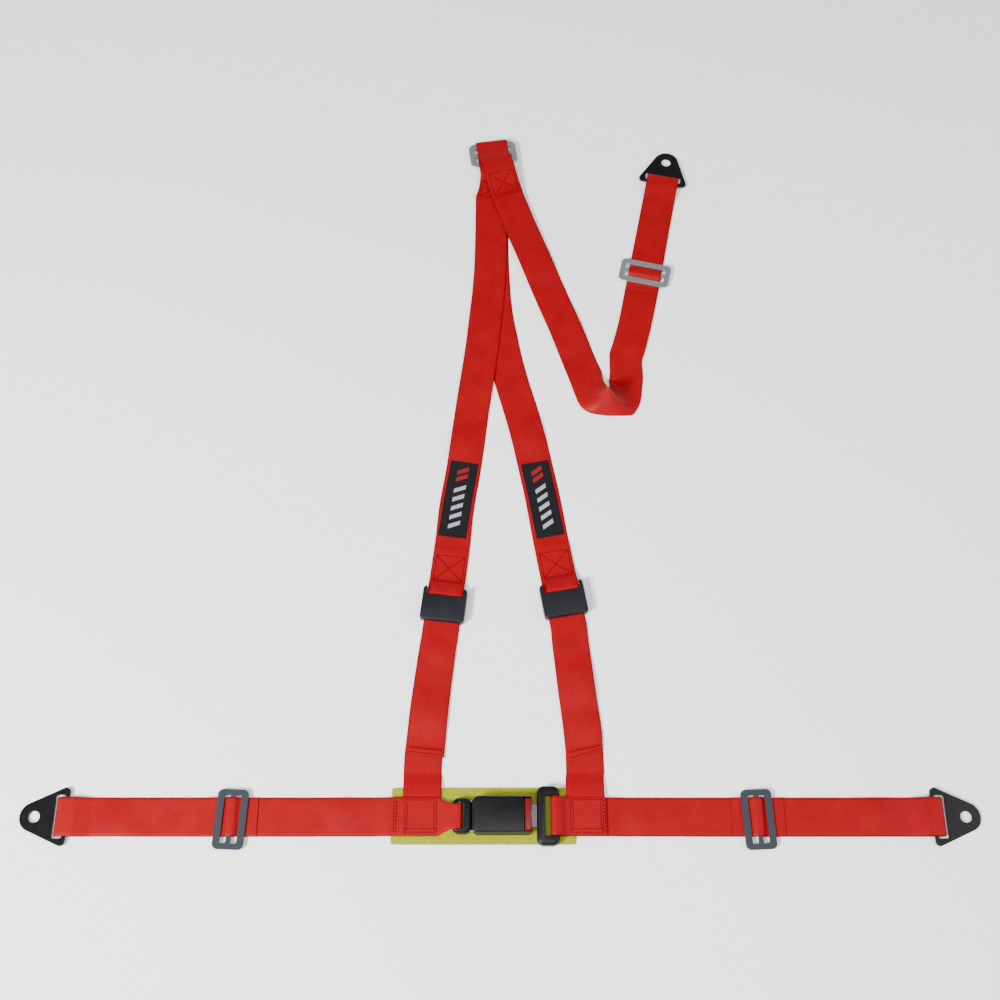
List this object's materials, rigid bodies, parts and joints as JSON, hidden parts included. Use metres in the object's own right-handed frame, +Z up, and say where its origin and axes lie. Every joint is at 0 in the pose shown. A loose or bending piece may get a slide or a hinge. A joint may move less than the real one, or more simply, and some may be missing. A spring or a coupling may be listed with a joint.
{
  "type": "racing harness",
  "caption": "Four-point kart harness laid flat: lap and shoulder webbing, push-button buckle on a pad, tilt adjusters, sliders, yoke ring, rear strap, bolt-in plates.",
  "frame": {"origin": "underside of the pad, below the middle of the buckle", "axes": "+X along the lap straps towards the tongue's side, +Y from the lap straps towards the yoke, +Z up, away from the floor that the harness lies on"},
  "size_m": [1.2412, 1.1271, 0.0443],
  "materials": {
    "webbing": "woven red webbing with a satin sheen",
    "label": "woven black label",
    "pad": "glossy lime vinyl",
    "black_plastic": "moulded black",
    "button_plastic": "moulded red",
    "adjuster_plastic": "moulded charcoal",
    "plate_steel": "black coated steel",
    "slider_steel": "dark grey coated steel",
    "zinc": "bright zinc plate",
    "steel": "plain steel",
    "spring_steel": "drawn wire"
  },
  "bodies": {
    "left_side": {"lap_strap_left": "webbing", "buckle_pad": "pad", "buckle_eye": "black_plastic", "buckle_frame": "steel", "buckle_base_cover": "black_plastic", "buckle_top_cover": "black_plastic", "buckle_screws": "steel", "latch_pin": "steel", "latch_spring": "spring_steel", "shoulder_strap_left_lower": "webbing", "shoulder_strap_left_upper": "webbing", "label_left": "label", "yoke_ring": "zinc"},
    "right_side": {"lap_strap_right": "webbing", "tongue_plate": "steel", "tongue_cover": "black_plastic", "shoulder_strap_right_lower": "webbing", "shoulder_strap_right_upper": "webbing", "label_right": "label"},
    "latch": {"latch_plate": "steel"},
    "ejector": {"ejector": "steel", "ejector_springs": "spring_steel"},
    "button": {"release_button": "button_plastic", "button_springs": "spring_steel"},
    "plate_left": {"anchor_plate_left": "plate_steel"},
    "plate_right": {"anchor_plate_right": "plate_steel"},
    "plate_rear": {"anchor_plate_rear": "plate_steel"},
    "slider_left": {"lap_slider_left": "slider_steel", "slider_webbing_left": "webbing"},
    "slider_right": {"lap_slider_right": "slider_steel", "slider_webbing_right": "webbing"},
    "slider_rear": {"rear_slider": "zinc", "slider_webbing_rear": "webbing"},
    "adjuster_left": {"adjuster_frame_left": "steel", "adjuster_cover_left": "adjuster_plastic", "adjuster_bar_left": "steel", "adjuster_webbing_left": "webbing"},
    "adjuster_right": {"adjuster_frame_right": "steel", "adjuster_cover_right": "adjuster_plastic", "adjuster_bar_right": "steel", "adjuster_webbing_right": "webbing"},
    "rear_side": {"rear_strap": "webbing"}
  },
  "joints": [
    {"name": "right_half_release", "type": "hinge", "parent": "left_side", "child": "right_side", "pos_m": [-0.00845, 1.03788, 0.0071], "axis": [0, 0, 1], "range_deg": [0, 2.2]},
    {"name": "latch_lift", "type": "hinge", "parent": "left_side", "child": "latch", "pos_m": [-0.022, 0, 0.014], "axis": [0, -1, 0], "range_deg": [0, 9]},
    {"name": "ejector_travel", "type": "slide", "parent": "left_side", "child": "ejector", "axis": [1, 0, 0], "range_m": [0, 0.01]},
    {"name": "button_press", "type": "slide", "parent": "left_side", "child": "button", "axis": [-1, 0, 0], "range_m": [0, 0.004]},
    {"name": "plate_left_swing", "type": "hinge", "parent": "left_side", "child": "plate_left", "pos_m": [-0.56, 0, 0.00441], "axis": [0, 1, 0], "range_deg": [-80, 80]},
    {"name": "plate_right_swing", "type": "hinge", "parent": "right_side", "child": "plate_right", "pos_m": [0.56, 0, 0.00441], "axis": [0, -1, 0], "range_deg": [-80, 80]},
    {"name": "slider_left_shift", "type": "slide", "parent": "left_side", "child": "slider_left", "axis": [1, 0, 0], "range_m": [-0.08, 0.08]},
    {"name": "slider_right_shift", "type": "slide", "parent": "right_side", "child": "slider_right", "axis": [1, 0, 0], "range_m": [-0.08, 0.08]},
    {"name": "adjuster_left_tilt", "type": "hinge", "parent": "left_side", "child": "adjuster_left", "pos_m": [-0.07559, 0.3039, 0.006], "axis": [-0.9936, 0.1132, 0], "range_deg": [0, 30]},
    {"name": "adjuster_right_tilt", "type": "hinge", "parent": "right_side", "child": "adjuster_right", "pos_m": [0.08482, 0.31156, 0.006], "axis": [-0.9848, -0.1736, 0], "range_deg": [0, 30]},
    {"name": "rear_strap_fold", "type": "hinge", "parent": "left_side", "child": "rear_side", "pos_m": [-0.01355, 1.07412, 0.0071], "axis": [-0.9903, -0.1392, 0], "range_deg": [0, 150]},
    {"name": "plate_rear_swing", "type": "hinge", "parent": "rear_side", "child": "plate_rear", "pos_m": [0.258, 1.002, 0.00441], "axis": [-0.9796, 0.2011, 0], "range_deg": [-80, 80]},
    {"name": "slider_rear_shift", "type": "slide", "parent": "rear_side", "child": "slider_rear", "axis": [0.2011, 0.9796, 0], "range_m": [-0.06, 0.06]}
  ],
  "couplings": [
    {"joint": "latch_lift", "follows": "right_half_release", "ratio": 4.0905},
    {"joint": "ejector_travel", "follows": "right_half_release", "m_per_rad": 0.26017},
    {"joint": "button_press", "follows": "right_half_release", "m_per_rad": 0.10404}
  ]
}
